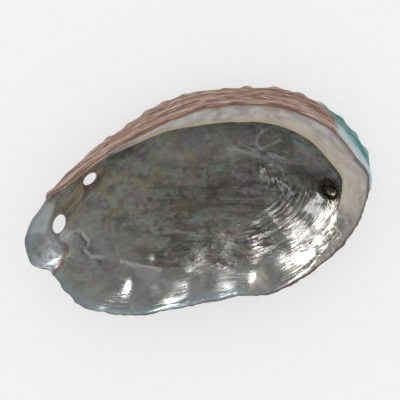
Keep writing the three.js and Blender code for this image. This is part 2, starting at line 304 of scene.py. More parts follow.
age, place = growth(np.array([0.0, -50.0, 20.0]), np.array([0.0, 0.0, -25.0]))
print("age:", age.round(0), "place on the lip:", place.round(0))

# %% [markdown]
# ## Knobs, holes and folds
#
# As the shell grew it closed its old holes, and each left a knob on the keel. The last two are open
# and have raised mouths. The outer lip carries soft folds, which the light catches inside as well.
# These forms are heights on the two skins. They are sums of soft humps, placed by measuring each
# point's distance from the keel's line, from a knob or from a hole's edge.

# %% Where the keel, the knobs and the holes are
KEEL_START = [(150, 43.4), (155, 43.2), (161.4, 43.1), (170, 47.4), (179.2, 54.4), (187, 60)]
CLOSED_HOLES = [142, 130, 118.5, 107, 95.5, 83.5, 71.5, 59, 46, 35, 25.5, 16.5, 8.5, 1.5]
# where each open hole is, its two bores, and how far it is turned
OPEN_HOLES = [((-54.4, 0.8), (6.8, 4.2), 57), ((-40.9, 13.5), (5.6, 3.1), 27)]
# where the crests of the folds are, in degrees, counted along the outer lip
CRESTS = [(195, -1), (218, 0), (241, 1), (276, 2), (310, 3), (341, 4), (368, 5), (440, 7), (530, 8)]


def back_at(angle, away):
    """The point of the back at an angle and a distance from the middle, seen from above."""
    widest = rim_radius(angle) + swell_reach(angle)
    c = np.linspace(1, 0, 400)
    points = bowl_points(angle, widest, rim_height(angle) - swell_depth(angle), -BOWL_DEPTH, c)
    return points[np.argmax(np.hypot(points[:, 0], points[:, 1]) <= away)]


def keel_point(degrees):
    angle = math.radians(degrees)
    widest = rim_radius(angle) + swell_reach(angle)
    start = [row[0] for row in KEEL_START]
    away = np.interp(degrees, start, [row[1] for row in KEEL_START])
    if degrees <= 150 or degrees > 187 or away > widest:
        z = rim_height(angle) - swell_depth(angle) * 1.25
        return np.array([widest * math.cos(angle), widest * math.sin(angle), z])
    return back_at(angle, away)


keel_line = np.array([keel_point(d) for d in np.arange(0, 187, 1.0)])
knob_points = np.array([keel_point(d) for d in CLOSED_HOLES])
# up to this angle, in degrees, the knobs stand where the shell is widest
KNOBS_AT_WIDEST = 62
for knob, degrees in zip(knob_points, CLOSED_HOLES):
    if degrees < KNOBS_AT_WIDEST:
        angle = math.radians(degrees)
        knob[2] = rim_height(angle) - swell_depth(angle) * 0.97
# the small knobs curl in round the spire, from this far out, at these turns in radians
FIRST_KNOB_AWAY = 13.5
spire_turns = np.arange(0.6, 7.2, 0.55)
spire_away = FIRST_KNOB_AWAY * np.exp(-EARLY_GROWTH * spire_turns)
spire_xy = np.stack(
    [SPIRE[0] + spire_away * np.cos(spire_turns), SPIRE[1] - spire_away * np.sin(spire_turns)], -1
)
spire_points = np.array([back_at(math.atan2(y, x), math.hypot(x, y)) for x, y in spire_xy])
print("knobs:", len(knob_points), "on the keel,", len(spire_points), "round the spire")


# %% Heights on the two skins
def hump(distance, width):
    return np.exp(-((distance / width) ** 2))


def nearest(points, line):
    """The distance from each point to the nearest of a line's points."""
    best = np.full(len(points), 1e9)
    for q in line:
        best = np.minimum(best, ((points - q) ** 2).sum(-1))
    return np.sqrt(best)


def along_across(points, spot, way):
    """How far each point is from a spot, seen from above, along a direction and across it."""
    dx, dy = points[:, 0] - spot[0], points[:, 1] - spot[1]
    return dx * way[0] + dy * way[1], dy * way[0] - dx * way[1]


def hole_distance(points, hole):
    """How far outside a hole's edge each point is, seen from above."""
    spot, (long, short), turned = hole
    a = math.radians(turned)
    along, across = along_across(points, spot, (math.cos(a), math.sin(a)))
    ratio = np.hypot(along / (long / 2), across / (short / 2))
    return np.hypot(along, across) * (1 - 1 / np.maximum(ratio, 1e-3))


crest_at = ring(CRESTS, 1)


def fold_height(points, reach):
    """How high the folds of the outer lip stand, fading over a reach in from the rim."""
    angle = np.arctan2(points[:, 1], points[:, 0]) % TURN
    degrees = np.degrees(angle)
    share = window(degrees, 196, 214, 322, 344)
    inward = rim_radius(angle) - np.hypot(points[:, 0], points[:, 1])
    return 0.5 * share * hump(inward, reach) * np.cos(TURN * crest_at(angle))


print("fold at the outer lip:", fold_height(np.array([[0.0, -37.0, 0.0]]), 20).round(2), "mm")

# %% [markdown]
# ## Pressing the ball into a shell
#
# The ball is a UV sphere with many segments, so that its half circles can become the sections. Its
# lower rings are spaced along the back, the rings round its equator along the ledge, and the upper
# rings along the inside. It is sculpted in code, because no lattice or modifier can push one half
# of a ball through to the other side with a given wall between them.

# %% The ball, and where each of its rings goes
AROUND = 480
BACK_RINGS = 104
LEDGE_RINGS = 22
INSIDE_RINGS = 74
RINGS = BACK_RINGS + LEDGE_RINGS + INSIDE_RINGS

bpy.ops.object.select_all(action="DESELECT")
bpy.ops.mesh.primitive_uv_sphere_add(segments=AROUND, ring_count=RINGS, radius=1)
shell = bpy.context.object
shell.name = "pearly_shell"
shell.data.name = "pearly_shell"

ball = np.empty(len(shell.data.vertices) * 3)
shell.data.vertices.foreach_get("co", ball)
ball = ball.reshape(-1, 3)
ring_of = np.rint(np.arccos(np.clip(-ball[:, 2], -1, 1)) / math.pi * RINGS).astype(int)
segment_of = np.rint(np.arctan2(ball[:, 1], ball[:, 0]) / TURN * AROUND).astype(int) % AROUND
print("ball:", len(ball), "points in", RINGS - 1, "rings")

# %% Each half circle becomes one section
shares = [
    np.arange(first, rings) / rings
    for first, rings in ((1, BACK_RINGS), (0, LEDGE_RINGS), (0, INSIDE_RINGS))
]
skin = np.empty((AROUND, RINGS - 1, 3))
for i in range(AROUND):
    runs = section(TURN * i / AROUND)
    skin[i] = np.concatenate([spaced(run, share) for run, share in zip(runs, shares)])
along = np.gradient(skin, axis=1)
across = np.roll(skin, -1, 0) - np.roll(skin, 1, 0)
outward = np.cross(across, along)
outward /= np.linalg.norm(outward, axis=-1, keepdims=True)
flat_skin, flat_out = skin.reshape(-1, 3), outward.reshape(-1, 3)
ring_index = np.tile(np.arange(1, RINGS), AROUND)
on_back = ring_index < BACK_RINGS
on_ledge = (ring_index >= BACK_RINGS) & (ring_index < BACK_RINGS + LEDGE_RINGS)
on_inside = ring_index >= BACK_RINGS + LEDGE_RINGS
print("skin:", flat_skin.min(0).round(1), "to", flat_skin.max(0).round(1), "mm")

# %% [markdown]
# ## Fine relief
#
# The back is rough: each pause in growth left a line, low threads run along the spiral, and the
# turns of the spire meet in a sunken seam. The inside is smooth nacre, but not perfectly so: it has
# a squiggly ridge and a pinhole near the front, a blister, a curl under the ledge and the groove
# that the holes stand in. All of these are measured in the plan of the shell, and a soft noise that
# is the same on every run makes them uneven.

# %% Helpers for uneven relief
from mathutils import Matrix, Vector, noise


def rough(vectors, detail=1):
    """Soft noise between about -1 and 1 at each vector, the same on every run."""
    if detail == 1:
        return np.array([noise.noise(Vector(v)) for v in vectors])
    return np.array([noise.fractal(Vector(v), 1.0, 2.1, detail) for v in vectors])


def spot_distance(points, spot):
    return np.hypot(points[:, 0] - spot[0], points[:, 1] - spot[1])


def line_distance(points, corners):
    """How far each point is, seen from above, from a line through one or more corners."""
    best = spot_distance(points, corners[0])
    for a, b in zip(corners[:-1], corners[1:]):
        a, b = np.array(a, float), np.array(b, float)
        t = np.clip(((points[:, :2] - a) @ (b - a)) / ((b - a) @ (b - a)), 0, 1)
        best = np.minimum(best, np.linalg.norm(points[:, :2] - a - t[:, None] * (b - a), axis=1))
    return best


def nearest_line(points, lines):
    """The least distance to several lines, each times the number that is given with it."""
    return np.min([line_distance(points, corners) * by for corners, by in lines], axis=0)


def rim_points(angle):
    radius = rim_radius(angle)
    return np.stack([radius * np.cos(angle), radius * np.sin(angle), rim_height(angle)], -1)


def hollow_distance(points):
    """How far each point is from the spire's hollow, which is longer than it is wide."""
    along, across = along_across(points, HOLLOW, HOLLOW_WAY)
    return np.hypot(along / HOLLOW_STRETCH, across)


TROUGH = [(-55.6, -3.0), (-57.2, -6.4), (-59.0, -9.4), (-61.4, -12.0)]
# the middle of the spire's hollow, the way it is long, and its length for a width of 1
HOLLOW, HOLLOW_WAY, HOLLOW_STRETCH = (38.3, -8.1), (0.15, -0.99), 1.45
print("noise at the origin:", rough([(0.3, 0.2, 0.1)]).round(3))

# %% The back: how old each point is, and what is on the band above the ledge
# how many degrees of turn the band above the ledge takes from its foot to the rim
BAND_AGE = 38
# how far in from the rim the folds fade, and how high a hole's mouth stands, in millimetres
FOLD_REACH_BACK, FOLD_REACH_INSIDE = 14, 6.5
HOLE_RIM = 1.15
rise = np.zeros(len(flat_skin))
p = flat_skin[on_back]
angle = np.arctan2(p[:, 1], p[:, 0])
age, place = growth(p[:, 0], p[:, 1])
below_rim = np.linalg.norm(p - rim_points(angle), axis=1)
swell_here = swell_reach(angle) > 0.6
band_share = np.where(swell_here, 1 - smooth(-p[:, 2], 0, swell_depth(angle) * 1.1 + 0.1), 0)
turned = turned_about_spire(p[:, 0], p[:, 1])
on_band = swell_here & (-p[:, 2] < swell_depth(angle) * 1.3)
age = np.where(on_band, turned - LIP_START + BAND_AGE * band_share, age)

print("points on the back:", len(p), "on the band:", int(on_band.sum()))

# %% The back: how far each point is from its forms, and its uneven noises
keel_away = nearest(p, keel_line)
knob_away = nearest(p, knob_points)
little_away = nearest(p, spire_points)
away = spot_distance(p, SPIRE)
seam = np.full(len(p), 1e9)
for n in (1, 2):
    seam = np.minimum(seam, np.abs(away - np.exp(keel_log(turned - 360 * n) + SEAM_PAST_KEEL)))
seam = np.where(away < 16, seam, 1e9)
lip_way = np.stack([6 * np.cos(np.radians(place)), 6 * np.sin(np.radians(place))], -1)
age_way = np.log1p(-age / 40) * 9
lines = rough(np.column_stack([lip_way * 0.35, age_way * 3.2]), 3)
threads = np.cos(np.radians(place) * 38 + 1.5 * rough(p / 9)) * (~on_band)
band_lines = rough(np.column_stack([np.cos(angle) * 6, np.sin(angle) * 6, below_rim * 1.1]), 3)
lumps = rough(p / 3.2, 3)
print("nearest to the keel:", keel_away.min().round(2), "mm, to a knob:", knob_away.min().round(2))

# %% The back raised: keel, knobs, threads, growth lines and the seam of the spire
back_rise = -fold_height(p, FOLD_REACH_BACK)
# how far away a form is, how many millimetres it rises or sinks, and how wide it is
for form_away, high, wide in (
    (keel_away, 1.1, 2.6), (away, 1.3, 9), (little_away, 0.75, 1.3), (seam, -0.6, 0.8),
    (knob_away, -0.4, 0.7), (line_distance(p, TROUGH), 0.8, 2.6),
):
    back_rise += high * hump(form_away, wide)
knob_size = 1.3 - 0.35 * (1 - smooth(np.abs(np.degrees(angle) - 24), 28, 40))
back_rise += knob_size * hump(knob_away + 0.6 * lumps, 1.5)
for hole in OPEN_HOLES:
    edge = hole_distance(p, hole)
    back_rise += HOLE_RIM * hump(np.maximum(edge - 0.5, 0), 1.5) * (edge > -2.5)
off_band = 0.32 * lines + 0.13 * threads + 0.2 * lumps
back_rise += np.where(on_band, 0.30 * band_lines + 0.16 * lumps, off_band)
cord, groove = 0.4 * hump(below_rim - 2.0, 0.65), 0.3 * hump(below_rim - 0.95, 0.4)
back_rise += (cord - groove) * swell_here
back_rise *= smooth(below_rim, 0.0, 1.2)
rise[on_back] = back_rise
print("back raised by", back_rise.min().round(2), "to", back_rise.max().round(2), "mm")

# %% The lines and spots in the nacre
# angle and distance from the middle of the line where the pale border begins
BORDER = [
    (60, 60), (150, 60), (178, 56), (186, 49), (190, 48.4), (194.4, 48.6), (197, 47), (199, 43.4),
    (204.5, 40.8), (218, 35.1), (233, 29.4), (257, 26.5), (276, 26.5), (288, 28.2), (302, 31.2),
    (313, 36.8), (324, 42.4), (336, 45), (345, 60),
]
SQUIGGLE = [
    (-53.6, -4.1), (-51.2, -3.0), (-49.3, -2.7), (-48.1, -4.0), (-47.1, -7.5), (-46.9, -10.3),
    (-46.4, -12.4), (-42.6, -13.8),
]
SQUIGGLE_SIDE = [(x - 0.9, y - 0.4) for x, y in SQUIGGLE[2:7]]
GROOVE = [(-38.5, 14.5), (-41, 13.2), (-46, 8.2), (-50.5, 4.0), (-54.4, 0.6)]
NOTCH_RIDGE = [(-54.9, -3.6), (-54.4, -6.5), (-54.7, -9.6), (-56.1, -12.1), (-58.8, -14.6)]
NOTCH_SIDE = [(-56.4, -3.2), (-55.9, -6.4), (-56.2, -9.0)]
FLANGE_RIDGE = [(-55.2, 7.4), (-57.6, 2.9), (-59.9, -0.7)]
CURL = [(21.3, 16.7), (18.8, 14.8), (17.9, 12.6), (18.9, 10.6), (22.8, 11.1), (25.8, 11.8)]
SMEAR = [(9.0, 13.4), (13.5, 11.6), (18.6, 9.2), (23.0, 7.4), (26.5, 5.7)]
BLISTER_LINE = [(-37.0, -16.5), (-30.8, -19.7), (-24.4, -22.3)]
PINHOLE = (-43.9, -15.0)
BLISTER = (-25.2, -19.4)
SPIRE_BEAD = (38.6, -7.4)
# a line or a spot, how many millimetres it rises or sinks, and how wide it is
NACRE_RELIEF = [
    (GROOVE, -1.0, 2.6), (TROUGH, -0.9, 2.4), ([SPIRE_BEAD], 0.9, 1.0), (SQUIGGLE, 0.16, 0.6),
    (SQUIGGLE_SIDE, -0.16, 0.6), (NOTCH_RIDGE, 0.3, 0.8), (NOTCH_SIDE, -0.45, 1.3),
    (FLANGE_RIDGE, 0.7, 1.1), (CURL, 0.25, 0.8), (SMEAR, 0.22, 1.6), (BLISTER_LINE, 0.2, 0.6),
    ([BLISTER], 0.65, 1.7), ([PINHOLE], -1.2, 0.7),
]
# swellings of the nacre on the folds, how high each is, the way the folds run, and their size
FOLD_TOPS = [
    ((-35.0, -26.9), 1.3), ((-25.8, -29.4), 0.2), ((-15.6, -30.0), 0.3), ((7.6, -32.0), 0.9),
    ((27.2, -29.4), 0.4),
]
FOLD_WAY, FOLD_TOP_WIDTH, FOLD_TOP_LENGTH = (0.43, 0.9), 2.4, 4.4
print("lines and spots in the nacre:", len(NACRE_RELIEF), "swellings:", len(FOLD_TOPS))

# %% The inside raised and sunk along them
border_radius = ring(BORDER, 1)
p = flat_skin[on_inside]
angle = np.arctan2(p[:, 1], p[:, 0])
away = np.hypot(p[:, 0], p[:, 1])
border = smooth(away + 1.2 * rough(p / 6.0) - border_radius(angle), -0.7, 0.7)
inside_rise = 0.22 * (1 - border) + 0.3 * rough(p / 11.0, 2) * smooth(-p[:, 2], 1, 6)
for corners, high, wide in NACRE_RELIEF:
    inside_rise += high * hump(line_distance(p, corners), wide)
trough_ribs = np.cos(TURN * (p[:, 0] * 0.5 + p[:, 1] * 0.86) / 1.5)
inside_rise += 0.16 * trough_ribs * hump(line_distance(p, TROUGH), 2.2)
hollow_away = hollow_distance(p) + 0.25 * rough(p / 1.6)
inside_rise -= 2.3 * (1 - smooth(hollow_away, 1.7, 3.1)) + 0.5 * hump(hollow_away, 5.5)
for spot, high in FOLD_TOPS:
    along, across = along_across(p, spot, FOLD_WAY)
    inside_rise += high * hump(np.hypot(across / FOLD_TOP_WIDTH, along / FOLD_TOP_LENGTH), 1)
inside_rise *= smooth(rim_radius(angle) - away, 0.9, 3.0)
inside_rise += fold_height(p, FOLD_REACH_INSIDE)
for hole in OPEN_HOLES:
    inside_rise -= 0.5 * hump(np.maximum(hole_distance(p, hole), 0), 1.1)
rise[on_inside] = inside_rise

raised = flat_skin + flat_out * rise[:, None]
p = flat_skin[on_ledge]
raised[on_ledge] = p + np.array([0, 0, 1]) * fold_height(p, FOLD_REACH_INSIDE)[:, None]
print("inside raised by", inside_rise.min().round(2), "to", inside_rise.max().round(2), "mm")

# %% The step beside the lobe fades a few millimetres in from the margin
EVENED_OVER = 10  # how many sections share in evening one, to each side
grid_way = TURN * np.arange(AROUND) / AROUND
grid_degrees = np.degrees(grid_way)[:, None]
inward = rim_radius(grid_way)[:, None] - np.hypot(skin[..., 0], skin[..., 1])
fading = window(grid_degrees, 181, 187, 199, 207)
fading = fading * smooth(inward, 4, 9) * on_inside.reshape(AROUND, -1)
raised = raised.reshape(skin.shape)
evened = sum(
    np.roll(raised, k, 0) * (EVENED_OVER - abs(k)) for k in range(1 - EVENED_OVER, EVENED_OVER)
)
raised = mix(raised, evened / EVENED_OVER**2, fading[..., None]).reshape(-1, 3)
print("points that were evened:", int((fading > 0).sum()))

# %% The outer lip's uneven margin
around = np.arctan2(flat_skin[:, 1], flat_skin[:, 0])
degrees = np.degrees(around) % 360
at_rim = rim_points(around)
growing = window(degrees, 184, 198, 330, 345)
chips = 0.45 * rough(at_rim / 1.9) + 0.5 * rough(at_rim / 5.0 + 9)
chips *= growing * hump(np.linalg.norm(flat_skin - at_rim, axis=1), 1.6)
raised[:, 0] += chips * np.cos(around)
raised[:, 1] += chips * np.sin(around)
print("margin moved by", chips.min().round(2), "to", chips.max().round(2), "mm")

# %% [markdown]
# ## The way the shell rests
#
# An empty shell rocks on its round back until its weight is right above the spot it stands on. That
# tilts it a few degrees, and the spot is worn flat. The same tilt and wear are used for the solid.

# %% Tilt, wear and put the shell on the ground
REST_TILT = (2.1, -0.2)
WORN = 0.4  # how much is worn off the back, in millimetres


def turned_about(points, axis, degrees):
    """Turns points about the origin; the axis is 0 for X, 1 for Y, 2 for Z."""
    a, b = [(1, 2), (2, 0), (0, 1)][axis]
    c, s = math.cos(math.radians(degrees)), math.sin(math.radians(degrees))
    out = points.copy()
    out[..., a] = points[..., a] * c - points[..., b] * s
    out[..., b] = points[..., a] * s + points[..., b] * c
    return out


def tilted(points):
    return turned_about(turned_about(points, 0, REST_TILT[0]), 1, REST_TILT[1])


pressed = np.empty((len(ball), 3))
off_poles = (ring_of > 0) & (ring_of < RINGS)
pressed[off_poles] = raised[segment_of[off_poles] * (RINGS - 1) + ring_of[off_poles] - 1]
pressed[ring_of == 0] = (*FLOOR_CENTRE, -BOWL_DEPTH)
pressed[ring_of == RINGS] = (*FLOOR_CENTRE, FLOOR_WALL - BOWL_DEPTH)
resting = tilted(pressed)
resting_drop = resting[:, 2].min() + WORN
resting[:, 2] = np.maximum(resting[:, 2] - resting_drop, 0)
middle = (resting.min(0) + resting.max(0)) / 2
resting[:, :2] -= middle[:2]
shell.data.vertices.foreach_set("co", (resting * MM).ravel())
shell.data.update()


def to_rest(points):
    """Points of the upright shell, in millimetres, as points of the resting one, in metres."""
    return (tilted(points) - (middle[0], middle[1], resting_drop)) * MM


print("shell box:", (resting.min(0)).round(2), (resting.max(0)).round(2), "mm")

# %% [markdown]
# ## Marks that the finishes follow
#
# The colours of the shell follow its growth, not its outline in space, so a finish needs to know
# where on the shell it is. Each point of the mesh gets a few numbers for that, such as how much it
# belongs to the ledge, to the pale border, to the stained groove or to the young part. A flow is
# kept too: its first two numbers run along the growth and its third runs across it, so that a noise
# that reads it comes out in streaks.

# %% Marks on the back
RIM_AWAY = 38  # about how far the rim is from the middle, in millimetres
p = flat_skin[on_back]
angle = np.arctan2(p[:, 1], p[:, 0])
young_bend = 5 * rough(p / 5.0, 2)
young_on_band = smooth(85 - turned - 18 * band_share + young_bend * 0.7, -3, 3)
back_marks = {
    "band": on_band * smooth(swell_reach(angle), 0.2, 1.2),
    "young": np.where(on_band, young_on_band, smooth(-age + young_bend, 92, 108)),
    "knob": np.maximum(hump(knob_away, 1.6), hump(little_away, 1.1)),
    "edge": below_rim,
}
along_band = np.stack([RIM_AWAY * np.cos(angle), RIM_AWAY * np.sin(angle), below_rim * 8], -1)
along_age = np.column_stack([lip_way * 5, age_way * 12])
flow = np.zeros((len(flat_skin), 3))
flow[on_back] = np.where(on_band[:, None], along_band, along_age)
print("young share of the back:", back_marks["young"].mean().round(2))

# %% Marks on the ledge and in the hollow
GROOVE_RUST = [(-42.7, 9.9), (-42.2, 10.8)]
# painted shade: dark lines and spots beside the squiggle and the notch, under the ledge's edge,
# below both holes, beside the spire's hollow and in the pinhole, each with a number that is larger
# where it is thinner
PAINTED_SHADE_LINES = [
    (SQUIGGLE_SIDE, 1.7), (NOTCH_SIDE, 0.8), ([(-31.6, 18.6), (-28.0, 19.4), (-25.4, 20.4)], 0.55),
    ([(-56.0, -3.0)], 0.55), ([(-38.2, 11.6), (-40.2, 10.0)], 0.65),
    ([(27.9, 0.6), (31.5, -1.6), (35.0, -3.6)], 0.45), ([PINHOLE], 0.8),
]


def near(points, spots, width):
    """A soft patch round each spot, as one mark."""
    return np.max([hump(spot_distance(points, spot), width) for spot in spots], axis=0)


inner = ~on_back
p = flat_skin[inner]
angle = np.arctan2(p[:, 1], p[:, 0])
degrees = np.degrees(angle) % 360
away = np.hypot(p[:, 0], p[:, 1])
inward = rim_radius(angle) - away
width = shelf_width(angle)
bend = 1.2 * rough(p / 6.0)
has_ledge = smooth(width, 1.2, 2.2) * (p[:, 2] > -2.6)
low_end = (degrees > 300) * (1 - smooth(degrees + 10 * bend, 322, 344))
ledge = has_ledge * (1 - smooth(inward - width, -0.1, 0.5)) * (1 - 0.75 * low_end)
border = smooth(away + bend - border_radius(angle), -0.8, 0.8)
border = border * np.where(degrees > 180, 0.2 + 0.8 * smooth(degrees, 197, 214), 1)
warm = 1 - smooth(np.abs((degrees + 180) % 360 - 185), 25, 65)
# painted highlight: pale lines along the squiggle, the flange's ridge, the blister's line and the
# curl, as the light they catch
highlight_lines = nearest_line(p, [(SQUIGGLE, 1.35), (FLANGE_RIDGE, 0.6), (BLISTER_LINE, 1.3)])
highlight_lines = np.minimum(highlight_lines, line_distance(p, CURL) * 0.9 + 0.4)
rust = [
    hump(line_distance(p, NOTCH_RIDGE[1:]), 0.85), near(p, GROOVE_RUST, 1.1),
    0.75 * near(p, [(-24.2, -20.2)], 1.2),
]
inner_marks = {
    "ledge": ledge,
    # the yellow bead on the ledge's edge, painted partly as the highlight it catches
    "bead": has_ledge * hump(inward - width + 0.25, 0.4) * (1 - smooth(low_end, 0, 0.5)),
    "warm": ledge * warm * smooth(inward / width, 0.1, 0.7),
    "low": low_end * hump(inward - width, 5),
    "border": border,
    "flange": border * window(degrees, 158, 168, 190, 197),
    "blue": (1 - smooth(inward + bend, 0.8, 4.0)) * window(degrees, 172, 182, 262, 285),
    "margin": hump(inward, 0.7) * (0.45 + 0.55 * smooth(degrees, 262, 300)),
    "edge": inward,
    "stain": hump(line_distance(p, GROOVE), 3.2) * (1 - ledge),
    # painted shade, along the lines and spots above
    "shade": hump(nearest_line(p, PAINTED_SHADE_LINES), 0.9) * (1 - ledge),
    "rust": np.max(rust, axis=0),
    # painted highlight along the ridges and on the blister's lit side
    "ridge": np.maximum(hump(highlight_lines, 0.65), near(p, [(-26.4, -17.7)], 0.9)),
    "notch": near(p, [(-56, -9.5), (-59.5, -12), (-52.5, -9.5), (-54.5, -13.5)], 4.0),
    "pit": 1 - smooth(hollow_distance(p) + bend * 0.2, 2.4, 3.1),
    "deep": hump(np.hypot((p[:, 0] - 8) / 24, (p[:, 1] + 3.5) / 10), 1),
    "streaky": smooth(inward, 9, 17) * smooth(p[:, 0], -44, -24),
}
# lines and groups of spots that have a soft edge, and how wide that is
for name, corners, wide in (
    ("trough", TROUGH, 3.4), ("smear", SMEAR, 1.5),
    ("teal", [(31.4, 10.4), (32.8, 9.1), (34.8, 6.0)], 1.3),
    ("pink", [(31.6, 6.6), (33.4, 4.6), (35.7, 3.2)], 1.2),
):
    inner_marks[name] = hump(line_distance(p, corners), wide)
for name, spots, wide in (
    ("lit", [(-12, 16), (-2, 17), (8, 15), (-47, -1), (-42, -7), (-36, -11), (-48, -14)], 6),
    ("gold", [(-27, 12), (-18, 15), (-33, 6), (-8, 17)], 9),
    ("ripple", [(22, -16), (30, -15), (28, -20), (30, -10), (15, -19)], 6.5),
    # pearly play of colour by the spire, partly painted glints
    ("pearl", [(19, 3), (21.5, -1.5), (24, -5), (27, -7.5), (31, -9), (34, -11)], 3),
    # pale cream nacre on the lip's folds, painted partly as the highlight that the folds catch
    ("cream", [(3.5, -33.2), (7.5, -32.4), (20, -31.4), (25.6, -29.6), (30, -27)], 3),
):
    inner_marks[name] = near(p, spots, wide)
flow[inner] = np.stack([RIM_AWAY * np.cos(angle), RIM_AWAY * np.sin(angle), inward * 6], -1)
print("marks on the inside:", len(inner_marks))

# %% Write the marks on the mesh
row = np.clip(segment_of * (RINGS - 1) + ring_of - 1, 0, len(flat_skin) - 1)
row[ring_of == 0] = 0
row[ring_of == RINGS] = RINGS - 2
for name in sorted({*back_marks, *inner_marks}):
    values = np.zeros(len(flat_skin))
    values[on_back] = back_marks.get(name, 0)
    values[inner] = inner_marks.get(name, 0)
    kept = shell.data.attributes.new(name, "FLOAT", "POINT")
    kept.data.foreach_set("value", values[row].astype(np.float32))
for name, vectors in (("flow", flow[row]), ("plan", pressed)):
    kept = shell.data.attributes.new(name, "FLOAT_VECTOR", "POINT")
    kept.data.foreach_set("vector", vectors.astype(np.float32).ravel())
print("marks on the mesh:", [a.name for a in shell.data.attributes if a.domain == "POINT"])

# %% [markdown]
# ## Helpers for the finishes
#
# A finish is a network of nodes. Drawing one by hand means dragging the same few nodes again and
# again, so short helpers add them here, to the tree that is being made: a mark read from the mesh,
# a noise, a range, a ramp of colours and one colour laid over another.

# %% Short names for the nodes that are used again and again
def new_finish(name):
    """A new material, its tree of nodes and its surface."""
    made = bpy.data.materials.new(name)
    made.use_nodes = True
    return made, made.node_tree, made.node_tree.nodes["Principled BSDF"]


def give(value, socket):
    """Links a value that is another node's socket, and sets any other value."""
    if isinstance(value, bpy.types.NodeSocket):
        tree.links.new(value, socket)
    else:
        socket.default_value = value


def node(kind, inputs=None, **settings):
    made = tree.nodes.new(kind)
    for key, value in settings.items():
        setattr(made, key, value)
    for key, value in (inputs or {}).items():
        give(value, made.inputs[key])
    return made


def mark(name, output="Fac"):
    return node("ShaderNodeAttribute", attribute_name=name).outputs[output]


def noise_on(vector, scale, detail=3.0, roughness=0.55, distortion=0.0, turn=0, output="Fac"):
    """A soft noise. Three scales draw it out into streaks, after a turn about Z in degrees."""
    if isinstance(scale, tuple):
        if turn:
            inputs = {"Vector": vector, "Rotation": (0, 0, math.radians(turn))}
            vector = node("ShaderNodeMapping", inputs).outputs["Vector"]
        inputs = {"Vector": vector, "Scale": scale}
        vector, scale = node("ShaderNodeMapping", inputs).outputs["Vector"], 1.0
    inputs = {
        "Vector": vector, "Scale": scale, "Detail": detail, "Roughness": roughness,
        "Distortion": distortion,
    }
    return node("ShaderNodeTexNoise", inputs).outputs[output]


def between(value, low, high, at_high=1.0, at_low=0.0):
    """A number that goes softly from at_low to at_high as the value goes from low to high."""
    inputs = {
        "Value": value, "From Min": low, "From Max": high, "To Min": at_low, "To Max": at_high,
    }
    return node("ShaderNodeMapRange", inputs, interpolation_type="SMOOTHSTEP").outputs["Result"]


def maths(operation, a, b):
    return node("ShaderNodeMath", {0: a, 1: b}, operation=operation).outputs["Value"]


def times(value, *others):
    for other in others:
        value = maths("MULTIPLY", value, other)
    return value


def share_of(name, amount, noise=None, low=0.0, high=1.0, at_low=0.0):
    """A mark times an amount. A noise, from low to high, can break it up."""
    share = times(mark(name), amount)
    return times(share, between(noise, low, high, 1.0, at_low)) if noise else share


def ramp(value, stops):
    made = node("ShaderNodeValToRGB", {"Fac": value})
    elements = made.color_ramp.elements
    while len(elements) < len(stops):
        elements.new(0.5)
    for element, (place, colour) in zip(elements, stops):
        element.position = place
        element.color = (*colour, 1)
    return made.outputs["Color"]


def layered(below, *layers):
    """Lays colours over one, from the bottom up, each with its share from 0 to 1."""
    for share, above, *mode in layers:
        made = node("ShaderNodeMix", data_type="RGBA", blend_type=mode[0] if mode else "MIX")
        for k, value in ((0, share), (6, below), (7, above)):
            give((*value, 1) if isinstance(value, tuple) else value, made.inputs[k])
        below = made.outputs[2]
    return below


print("helpers ready")

# %% [markdown]
# ## Nacre
#
# Nacre is hundreds of thin clear plates over dark layers. Seen from above it is a deep grey that
# drifts to olive, gold, brown and violet, and it shines like a half metal with soft play of colour.
# One colour with a noise would look like stone. So this finish stacks what the real one shows: a
# clouded ground, brown streaks along the shell, gold and green towards the front, pearly swirls by
# the spire, a paler border, the pinkish ledge with its yellow bead, and stains in the groove. It also
# paints light and shade into the colour: highlights along ridges, on the trough's ribs, the bead and
# the folds of the lip, glints by the spire, a reflection on a pale streak by the ledge, and shade
# beside ridges, under the ledge, by the holes, in the ripples and in the pinhole.

# %% The clouded ground
STREAK_TURN = 13
GROOVE_TURN = -41
nacre, tree, surface = new_finish("nacre")
plan, flowing = mark("plan", "Vector"), mark("flow", "Vector")
clouds = noise_on(plan, 0.085, 4.0, 0.55, 0.7)
mottle = noise_on(plan, 0.27, 3.0, 0.55, 1.1)
specks = noise_on(plan, 0.75, 3.0, 0.6, 0.5)
hues = noise_on(plan, 0.13, 3.0, 0.55, 1.2, output="Color")
small_hues = noise_on(plan, 0.36, 3.0, 0.6, 1.0, output="Color")
ground = ramp(clouds, [
    (0.36, (0.084, 0.082, 0.072)), (0.46, (0.120, 0.120, 0.108)), (0.54, (0.160, 0.162, 0.148)),
    (0.64, (0.210, 0.212, 0.196)),
])
ground = layered(
    ground,
    # darker in the middle of the hollow
    (share_of("deep", 0.65), (0.064, 0.058, 0.044)),
    (0.55, hues, "OVERLAY"),
    (0.25, small_hues, "OVERLAY"),
    (between(mottle, 0.52, 0.66, 0.60), (0.245, 0.248, 0.225)),
    (between(mottle, 0.47, 0.34, 0.75), (0.045, 0.042, 0.034)),
    (between(specks, 0.52, 0.70, 0.40), (0.230, 0.228, 0.205)),
    (between(specks, 0.47, 0.32, 0.45), (0.050, 0.045, 0.038)),
)
print("ground:", len(tree.nodes), "nodes")

